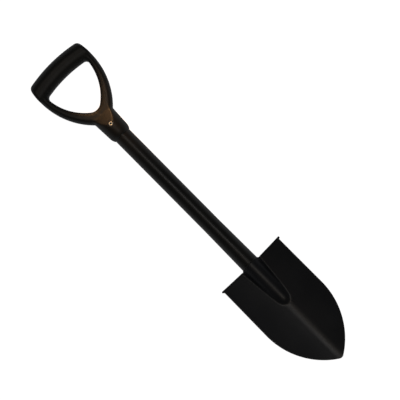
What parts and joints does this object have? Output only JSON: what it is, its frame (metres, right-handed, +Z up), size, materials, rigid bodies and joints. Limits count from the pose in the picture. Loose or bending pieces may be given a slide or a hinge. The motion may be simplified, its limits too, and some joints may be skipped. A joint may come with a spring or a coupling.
{
  "type": "round point shovel",
  "caption": "Short round point digging shovel with a moulded D-grip, a straight steel tube shaft and a dished steel blade with a turned step and a raised frog.",
  "frame": {"origin": "under the middle of the whole length, at the height of the lowest point, with the shovel on its back", "axes": "+X along the shaft towards the blade's point, +Z up out of the blade's face, +Y across, the shovel's plane of symmetry being y = 0"},
  "size_m": [0.688, 0.134, 0.0625],
  "materials": {
    "blade_coat": "satin black powder coat",
    "shaft_coat": "satin black powder coat",
    "grip_plastic": "satin moulded black plastic",
    "rivet_steel": "plated, slightly dull"
  },
  "bodies": {
    "root": {"blade": "blade_coat", "shaft": "shaft_coat", "mouth_weld": "shaft_coat", "side_welds": "shaft_coat", "grip": "grip_plastic", "grip_rivet": "rivet_steel"}
  },
  "joints": []
}
